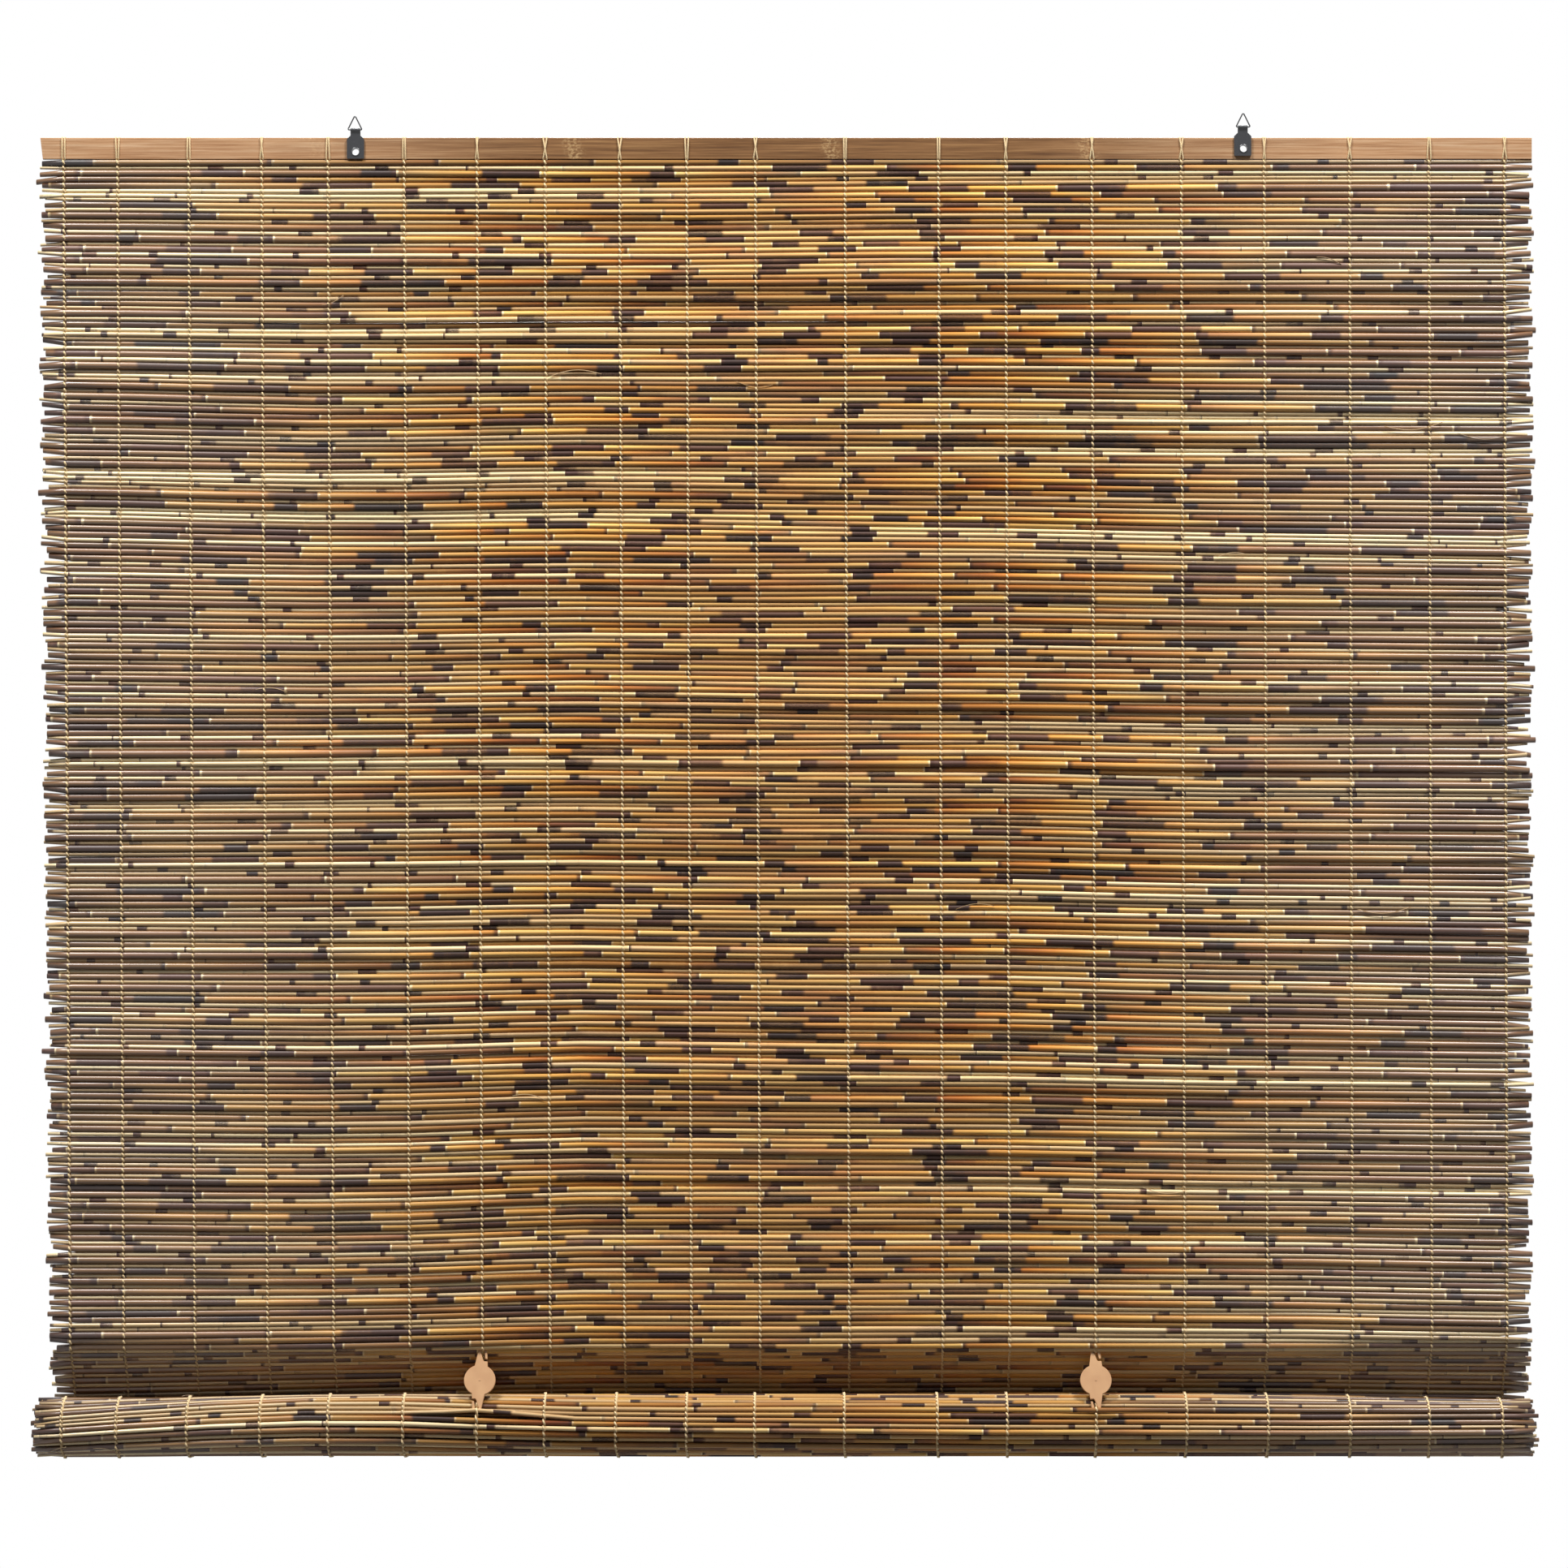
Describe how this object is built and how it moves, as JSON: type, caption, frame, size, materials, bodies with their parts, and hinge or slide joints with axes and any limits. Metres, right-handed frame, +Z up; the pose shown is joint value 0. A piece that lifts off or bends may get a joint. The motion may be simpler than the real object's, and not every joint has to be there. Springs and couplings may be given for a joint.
{
  "type": "reed roll-up blind",
  "caption": "Roll-up window blind of natural reeds woven on cotton cords under a flat wooden head slat, half rolled up, with roll clips and steel hanging rings.",
  "frame": {"origin": "middle of the head slat's back face, which lies against the window frame or wall", "axes": "+X along the head slat to the viewer's right, +Y away from the room towards the wall, +Z up"},
  "size_m": [1.8045, 0.0821, 1.6236],
  "materials": {
    "slat_wood": "satin, bamboo lath",
    "reeds": "natural reed, semi-gloss, with dark sheath patches",
    "cotton_cord": "twisted cotton",
    "black_steel": "glossy black paint",
    "tan_plastic": "smooth moulded plastic"
  },
  "bodies": {
    "blind": {"head_slat": "slat_wood", "reed_mat": "reeds", "reed_roll": "reeds", "bottom_slat": "slat_wood", "warp_cord_01": "cotton_cord", "warp_cord_02": "cotton_cord", "warp_cord_03": "cotton_cord", "warp_cord_04": "cotton_cord", "warp_cord_05": "cotton_cord", "warp_cord_06": "cotton_cord", "warp_cord_07": "cotton_cord", "warp_cord_08": "cotton_cord", "warp_cord_09": "cotton_cord", "warp_cord_10": "cotton_cord", "warp_cord_11": "cotton_cord", "warp_cord_12": "cotton_cord", "warp_cord_13": "cotton_cord", "warp_cord_14": "cotton_cord", "warp_cord_15": "cotton_cord", "warp_cord_16": "cotton_cord", "warp_cord_17": "cotton_cord", "warp_cord_18": "cotton_cord", "warp_cord_19": "cotton_cord", "warp_cord_20": "cotton_cord", "hanger_plate_left": "black_steel", "hanger_eyelet_left": "black_steel", "roll_clip_left": "tan_plastic", "hanger_plate_right": "black_steel", "hanger_eyelet_right": "black_steel", "roll_clip_right": "tan_plastic"},
    "ring_left": {"hanger_ring_left": "black_steel"},
    "ring_right": {"hanger_ring_right": "black_steel"}
  },
  "joints": [
    {"name": "ring_left_swing", "type": "hinge", "parent": "blind", "child": "ring_left", "pos_m": [-0.5201, -0.00788, 0.02225], "axis": [1, 0, 0], "range_deg": [-120, 150]},
    {"name": "ring_right_swing", "type": "hinge", "parent": "blind", "child": "ring_right", "pos_m": [0.5515, -0.00788, 0.02575], "axis": [1, 0, 0], "range_deg": [-120, 150]}
  ]
}
